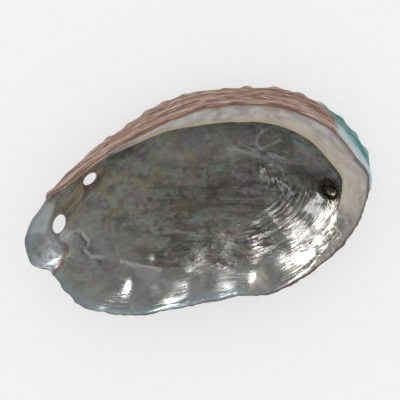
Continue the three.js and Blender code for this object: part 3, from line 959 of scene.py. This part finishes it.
# %% Streaks along the shell, and gold, green and violet drifts
streaks = noise_on(plan, (0.055, 0.42, 0.1), 5.0, 0.6, 0.5, STREAK_TURN)
scratches = noise_on(plan, (0.12, 1.7, 0.2), 3.0, 0.6, 0.2, STREAK_TURN)
drift = noise_on(plan, 0.19, 3.0, 0.5, 1.0)
greens = noise_on(plan, (0.12, 0.17, 0.13), 3.0, 0.5, 1.0)
violets = noise_on(plan, (0.17, 0.13, 0.16), 3.0, 0.5, 0.8)
ground = layered(
    ground,
    (share_of("streaky", 0.65, streaks, 0.51, 0.62), (0.068, 0.052, 0.034)),
    (share_of("streaky", 0.50, streaks, 0.48, 0.37), (0.205, 0.200, 0.176)),
    (share_of("streaky", 0.45, scratches, 0.57, 0.66), (0.040, 0.034, 0.028)),
    (share_of("lit", 0.5), (0.225, 0.228, 0.215)),
    (share_of("gold", 0.75, drift, 0.44, 0.64), (0.235, 0.212, 0.105)),
    (between(greens, 0.54, 0.68, 0.50), (0.125, 0.160, 0.118)),
    (between(greens, 0.46, 0.33, 0.45), (0.130, 0.108, 0.066)),
    (between(violets, 0.57, 0.70, 0.45), (0.150, 0.118, 0.128)),
)
print("with streaks and drifts:", len(tree.nodes), "nodes")

# %% Pearl with painted glints, and growth lines with painted shade
play = noise_on(flowing, (0.10, 0.10, 0.22), 3.0, 0.5, 1.2)
# pearly play of colour; its lightest stops are painted glints
pearl = ramp(play, [
    (0.36, (0.25, 0.36, 0.38)), (0.46, (0.42, 0.47, 0.50)), (0.52, (0.60, 0.60, 0.58)),
    (0.60, (0.48, 0.40, 0.42)), (0.68, (0.26, 0.38, 0.36)),
])
flecks = noise_on(plan, (0.45, 0.85, 0.5), 2.0, 0.6, 0.15, STREAK_TURN + 62)
wisps = noise_on(plan, (0.14, 0.55, 0.3), 4.0, 0.6, 0.8, STREAK_TURN + 18)
growth_lines = noise_on(flowing, (0.06, 0.06, 0.14), 4.0, 0.55, 0.5)
ground = layered(
    ground,
    # pearly colour, painted partly as bright glints
    (share_of("pearl", 1.0, flecks, 0.50, 0.59), pearl),
    (share_of("pearl", 0.6, flecks, 0.46, 0.36), (0.030, 0.030, 0.032)),
    # a pale streak by the ledge: partly its own colour, partly a painted reflection
    (share_of("smear", 0.8, wisps, 0.40, 0.60), (0.350, 0.372, 0.365)),
    (share_of("teal", 0.75, wisps, 0.35, 0.55), (0.210, 0.345, 0.320)),
    (share_of("pink", 0.6, wisps, 0.35, 0.55), (0.360, 0.250, 0.235)),
    # pale and dark growth lines in the ripples; the dark ones are painted shade in their troughs
    (share_of("ripple", 0.55, growth_lines, 0.46, 0.60), (0.270, 0.262, 0.225)),
    (share_of("ripple", 0.8, growth_lines, 0.47, 0.40), (0.028, 0.026, 0.022)),
)
print("with pearl:", len(tree.nodes), "nodes")

# %% The border, its bluish margin, its painted highlights and its painted shade
soft = noise_on(plan, 0.15, 4.0, 0.55, 0.5)
border_colour = ramp(soft, [
    (0.36, (0.140, 0.139, 0.133)), (0.5, (0.182, 0.180, 0.172)), (0.64, (0.235, 0.233, 0.225)),
])
border_colour = layered(
    border_colour,
    (0.13, hues, "OVERLAY"),
    (between(specks, 0.54, 0.70, 0.25), (0.29, 0.29, 0.28)),
)
shade = layered(
    ground,
    (mark("border"), border_colour),
    # pale cream nacre, painted partly as the highlight on the lip's folds
    (share_of("cream", 0.7, mottle, 0.38, 0.56), (0.560, 0.545, 0.450)),
    (share_of("blue", 0.8, drift, 0.35, 0.55, 0.35), (0.205, 0.285, 0.310)),
    (share_of("flange", 0.8, soft, 0.3, 0.6, 0.5), (0.325, 0.362, 0.378)),
    # pale pearly nacre in the trough, with its ribs painted lighter as if lit
    (share_of("trough", 0.95, flecks, 0.40, 0.56, 0.35), (0.560, 0.610, 0.635)),
    # painted highlight along the ridges and on the blister
    (share_of("ridge", 0.75), (0.420, 0.435, 0.415)),
    # painted shade beside ridges, under the ledge, by the holes and in the pinhole
    (share_of("shade", 0.75), (0.045, 0.040, 0.034)),
)
print("with the border:", len(tree.nodes), "nodes")

# %% Stains in the groove, the ledge with its bead and its painted highlight, and the hollow of the spire
stripes = noise_on(plan, (0.11, 0.60, 0.2), 4.0, 0.6, 0.5, GROOVE_TURN)
stripe_colour = ramp(stripes, [
    (0.36, (0.040, 0.024, 0.014)), (0.46, (0.120, 0.096, 0.066)), (0.52, (0.190, 0.150, 0.095)),
    (0.58, (0.300, 0.215, 0.095)), (0.66, (0.340, 0.185, 0.090)),
])
ledge_colour = ramp(noise_on(flowing, (0.16, 0.16, 0.09), 4.0), [
    (0.34, (0.300, 0.268, 0.250)), (0.48, (0.385, 0.352, 0.333)), (0.64, (0.480, 0.452, 0.432)),
])
ledge_colour = layered(
    ledge_colour,
    (0.22, small_hues, "OVERLAY"),
    (share_of("warm", 0.6), (0.450, 0.412, 0.325)),
    (between(mottle, 0.48, 0.34, 0.4), (0.255, 0.225, 0.190)),
)
pit_colour = layered((0.020, 0.012, 0.008), (between(specks, 0.42, 0.60), (0.085, 0.052, 0.030)))
shade = layered(
    shade,
    (share_of("stain", 0.85), stripe_colour),
    (share_of("rust", 0.95), (0.115, 0.050, 0.025)),
    (mark("ledge"), ledge_colour),
    (share_of("low", 0.75, flecks, 0.50, 0.60), (0.440, 0.435, 0.360)),
    (share_of("low", 0.7, flecks, 0.47, 0.38), (0.130, 0.125, 0.095)),
    # the yellow bead on the ledge's rounded edge, painted partly as the highlight it catches
    (share_of("bead", 0.8), (0.420, 0.355, 0.170)),
    (mark("pit"), pit_colour),
    (share_of("margin", 0.9), (0.070, 0.048, 0.048)),
)
give(shade, surface.inputs["Base Color"])
print("with stains and ledge:", len(tree.nodes), "nodes")

# %% The shine of nacre
# what is the same all over the nacre
NACRE_SHINE = {
    "Metallic": 0.35, "Specular IOR Level": 0.6, "Coat Roughness": 0.1,
    "Thin Film Thickness": 420, "Thin Film IOR": 1.55,
}
for name, value in NACRE_SHINE.items():
    surface.inputs[name].default_value = value
dull_lines = maths("MAXIMUM", maths("MAXIMUM", mark("ridge"), mark("rust")), mark("notch"))
dull = layered(
    (0.19,) * 3,
    (mark("ledge"), (0.42,) * 3),
    (mark("pit"), (0.12,) * 3),
    (between(mark("edge"), 1.6, 0.7), (0.50,) * 3),
    (dull_lines, (0.42,) * 3),
)
roughness = maths("ADD", dull, between(specks, 0.3, 0.7, 0.06, -0.04))
give(roughness, surface.inputs["Roughness"])
bare = maths("MAXIMUM", mark("ledge"), mark("notch"))
give(between(bare, 0.0, 1.0, 0.0, 0.25), surface.inputs["Coat Weight"])

# %% Its ripples, lumps and grain
RELIEF_HEIGHT = 0.0011
wave_height = between(mark("ripple"), 0.0, 1.0, 0.95, 0.06)
creases = maths("ADD", growth_lines, between(growth_lines, 0.42, 0.52, 0.55))
grain = times(mottle, maths("SUBTRACT", 0.16, share_of("border", 0.13)))
relief = maths("ADD", times(creases, wave_height), grain)
relief = maths("ADD", relief, times(mark("pearl"), 1.7, flecks))
bump = node("ShaderNodeBump", {"Height": relief, "Distance": RELIEF_HEIGHT, "Strength": 0.9})
give(bump.outputs["Normal"], surface.inputs["Normal"])
print("nacre:", len(tree.nodes), "nodes")

# %% [markdown]
# ## The rough back
#
# The back is chalky and banded: terracotta and grey-pink where the shell is grown up, blue-green
# round the spire where it was young. Bands run along each old lip. The band above the ledge is a
# bundle of fine cords. Knobs and cords are rubbed pale. Paint-like colour would look flat, so the
# bands, the fibres, the rubbed places and the crusts each have a layer, and the roughness follows
# the fibres.

# %% Bands of growth
bark, tree, surface = new_finish("rough_back")
plan, flowing, young = mark("plan", "Vector"), mark("flow", "Vector"), mark("young")
bands = noise_on(flowing, (0.018, 0.018, 0.085), 6.0, 0.62, 0.25)
fibres = noise_on(flowing, (0.15, 0.15, 0.34), 5.0, 0.65, 0.5)
rusty = noise_on(flowing, (0.05, 0.05, 0.12), 3.0, 0.5, 0.4)
red_brown = ramp(bands, [
    (0.36, (0.085, 0.042, 0.028)), (0.44, (0.220, 0.110, 0.068)), (0.50, (0.310, 0.165, 0.110)),
    (0.56, (0.350, 0.230, 0.180)), (0.64, (0.530, 0.440, 0.390)),
])
blue_green = ramp(bands, [
    (0.34, (0.030, 0.120, 0.118)), (0.45, (0.075, 0.240, 0.225)), (0.57, (0.160, 0.360, 0.340)),
    (0.68, (0.430, 0.540, 0.550)),
])
pale_fibre = layered((0.560, 0.450, 0.390), (young, (0.330, 0.520, 0.500)))
dark_fibre = layered((0.105, 0.055, 0.036), (young, (0.030, 0.110, 0.105)))
grown_up = maths("SUBTRACT", 1.0, young)
body = layered(
    red_brown,
    (young, blue_green),
    (times(grown_up, between(rusty, 0.50, 0.62, 0.7)), (0.400, 0.190, 0.090)),
    (between(fibres, 0.51, 0.61, 0.70), pale_fibre),
    (between(fibres, 0.50, 0.42, 0.80), dark_fibre),
)
print("bands:", len(tree.nodes), "nodes")

# %% Rubbed knobs, crusts and the colours near the rim
FIBRE_HEIGHT = 0.0009
blotches = noise_on(plan, 0.13, 4.0, 0.6, 0.4)
grit = noise_on(plan, 1.1, 4.0, 0.6)
edge, band = mark("edge"), mark("band")
cord = times(between(edge, 1.3, 1.9), between(edge, 3.2, 2.3), band, 0.45)
pale_rim = times(between(edge, 5.5, 2.0), young, between(grit, 0.30, 0.60, 1.0, 0.6), 0.8)
lip_line = times(between(edge, 2.4, 0.4), maths("SUBTRACT", 1.0, band), 0.6)
body = layered(
    body,
    (between(blotches, 0.60, 0.72, 0.50), (0.430, 0.360, 0.340)),
    (between(blotches, 0.40, 0.30, 0.45), (0.160, 0.120, 0.105)),
    (share_of("knob", 0.55, grit, 0.35, 0.6), (0.520, 0.480, 0.440)),
    (cord, (0.500, 0.405, 0.375)),
    (pale_rim, (0.530, 0.610, 0.660)),
    (times(between(edge, 1.25, 0.8), band, 0.9), (0.195, 0.088, 0.036)),
    (lip_line, (0.130, 0.105, 0.110)),
)
give(body, surface.inputs["Base Color"])
give(between(fibres, 0.3, 0.7, 0.82, 0.62), surface.inputs["Roughness"])
surface.inputs["Specular IOR Level"].default_value = 0.35
height = maths("ADD", fibres, times(grit, 0.35))
bump = node("ShaderNodeBump", {"Height": height, "Distance": FIBRE_HEIGHT, "Strength": 0.9})
give(bump.outputs["Normal"], surface.inputs["Normal"])
print("rough back:", len(tree.nodes), "nodes")

# %% Each finish goes on its own side of the rim
shell.data.materials.append(nacre)
shell.data.materials.append(bark)
loop_points = np.empty(len(shell.data.loops), int)
shell.data.loops.foreach_get("vertex_index", loop_points)
starts = np.empty(len(shell.data.polygons), int)
shell.data.polygons.foreach_get("loop_start", starts)
corners = np.diff(np.append(starts, len(loop_points)))
faces_of_back = np.add.reduceat(ring_of[loop_points], starts) / corners < BACK_RINGS
shell.data.polygons.foreach_set("material_index", faces_of_back.astype(int))
print("faces of the back:", int(faces_of_back.sum()), "of", len(faces_of_back))

# %% [markdown]
# ## Boring the two open holes
#
# The holes could be left out of the ball's rings, but their edges would be jagged. A drill bit, a
# stretched cylinder, is subtracted instead, which leaves a clean oval edge through both skins.

# %% Two oval bits, subtracted
BIT_LEAN = 10
BIT_LENGTH = 20
SMOOTH_UP_TO = math.radians(50)

for k, ((x, y), (long, short), turned_by) in enumerate(OPEN_HOLES):
    bpy.ops.object.select_all(action="DESELECT")
    bpy.ops.mesh.primitive_cylinder_add(vertices=64, radius=1, depth=BIT_LENGTH)
    bit = bpy.context.object
    corners = np.array([v.co[:] for v in bit.data.vertices]) * (long / 2, short / 2, 1)
    facing = math.degrees(math.atan2(y, x))
    for axis, degrees in ((2, turned_by - facing), (1, -BIT_LEAN), (2, facing)):
        corners = turned_about(corners, axis, degrees)
    corners += (x, y, back_at(math.radians(facing), math.hypot(x, y))[2])
    bit.data.vertices.foreach_set("co", to_rest(corners).ravel())
    cut = shell.modifiers.new("hole", "BOOLEAN")
    cut.object, cut.operation, cut.solver = bit, "DIFFERENCE", "EXACT"
    bpy.context.view_layer.objects.active = shell
    bpy.ops.object.modifier_apply(modifier=cut.name)
    bpy.data.objects.remove(bit)
    print("hole", k + 1, "bored:", len(shell.data.vertices), "points")

bpy.ops.object.select_all(action="DESELECT")
shell.select_set(True)
bpy.context.view_layer.objects.active = shell
bpy.ops.object.shade_smooth_by_angle(angle=SMOOTH_UP_TO)

# %% [markdown]
# ## The camera
#
# The photograph looks straight down into the shell, with the shell turned a little on its table. A
# long lens far away keeps the two ends of the shell in scale with each other. The camera looks
# along the shell's own upright, before it settled, so it leans with the shell.

# %% Where the camera is and how it is turned
CAMERA_TURN = math.radians(13.1)
MM_PER_PIXEL = 0.337
PIXELS = 400
LENS = 135
SENSOR = 36
VIEW_CENTRE = (-5.1, -3.4)

right = np.array([math.cos(CAMERA_TURN), -math.sin(CAMERA_TURN), 0])
up = np.array([math.sin(CAMERA_TURN), math.cos(CAMERA_TURN), 0])
toward = np.array([0, 0, 1.0])
distance = PIXELS * MM_PER_PIXEL * LENS / SENSOR
eye = VIEW_CENTRE[0] * right + VIEW_CENTRE[1] * up + distance * toward

bpy.ops.object.camera_add()
camera = bpy.context.object
camera.data.lens = LENS
camera.data.sensor_width = SENSOR
turn = Matrix([tilted(v) for v in (right, up, toward)]).transposed().to_4x4()
camera.matrix_world = Matrix.Translation(to_rest(eye)) @ turn
bpy.context.scene.camera = camera
print("camera is", round(distance), "mm above the rim")

# %% [markdown]
# ## The floor and the light
#
# A photographer sets a shell like this on a white sweep and lets light come from all round, so that
# nearly no shadow is left. Nacre is judged by its highlights, so one softbox stands low behind the
# ledge: it is mirrored by the far side of the hollow and by the folds of the lip, and nowhere else.
# A larger, dimmer glow round it softens the edge of that mirror image. The room above is dim, or
# the whole hollow would turn white.

# %% A white floor
FLOOR_GLOW = 0.58
bpy.ops.object.select_all(action="DESELECT")
bpy.ops.mesh.primitive_plane_add(size=3)
floor = bpy.context.object
floor.name = "floor"
paper, tree, surface = new_finish("paper")
fibre = noise_on(node("ShaderNodeTexCoord").outputs["Object"], 900.0, 2.0)
white = ramp(fibre, [(0.3, (0.25, 0.25, 0.25)), (0.7, (0.27, 0.27, 0.27))])
give(white, surface.inputs["Base Color"])
surface.inputs["Roughness"].default_value = 0.9
surface.inputs["Specular IOR Level"].default_value = 0.1
surface.inputs["Emission Color"].default_value = (1, 1, 1, 1)
surface.inputs["Emission Strength"].default_value = FLOOR_GLOW
floor.data.materials.append(paper)

# %% Light from all round, dimmer for what is mirrored
PLAIN_LIGHT = (1.22, 1.22, 1.22)
MIRRORED_LIGHT = (0.36, 0.36, 0.37)
world = bpy.data.worlds.new("studio")
bpy.context.scene.world = world
world.use_nodes = True
tree = world.node_tree
background = tree.nodes["Background"]
mirrored = node("ShaderNodeLightPath").outputs["Is Glossy Ray"]
give(layered(PLAIN_LIGHT, (mirrored, MIRRORED_LIGHT)), background.inputs["Color"])
background.inputs["Strength"].default_value = 1.0
print("light in the room:", len(tree.nodes), "nodes")

# %% The softbox behind the ledge, and its glow
LAMP_TURN, LAMP_RISE = 125, 23


def softbox(name, size, energy, away):
    """A softbox that points at the shell. It is mirrored, and adds no plain light of its own."""
    turned, rise = math.radians(LAMP_TURN) - CAMERA_TURN, math.radians(LAMP_RISE)
    at = away * Vector((
        math.cos(rise) * math.cos(turned), math.cos(rise) * math.sin(turned), math.sin(rise)
    ))
    bpy.ops.object.light_add(type="AREA", location=at)
    lamp = bpy.context.object
    lamp.name = name
    lamp.data.shape = "ELLIPSE"
    lamp.data.size, lamp.data.size_y = size
    lamp.data.energy = energy
    lamp.visible_diffuse = False
    lamp.rotation_euler = (-at).to_track_quat("-Z", "Y").to_euler()
    print(name, "at", [round(v, 2) for v in at])


softbox("softbox", (0.21, 0.15), 2.9, 0.6)
softbox("glow", (0.42, 0.30), 0.9, 0.62)
bpy.context.scene.view_settings.view_transform = "Standard"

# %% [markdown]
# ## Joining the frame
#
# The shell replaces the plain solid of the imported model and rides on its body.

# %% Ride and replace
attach(shell, "root")
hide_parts("abalone_shell")
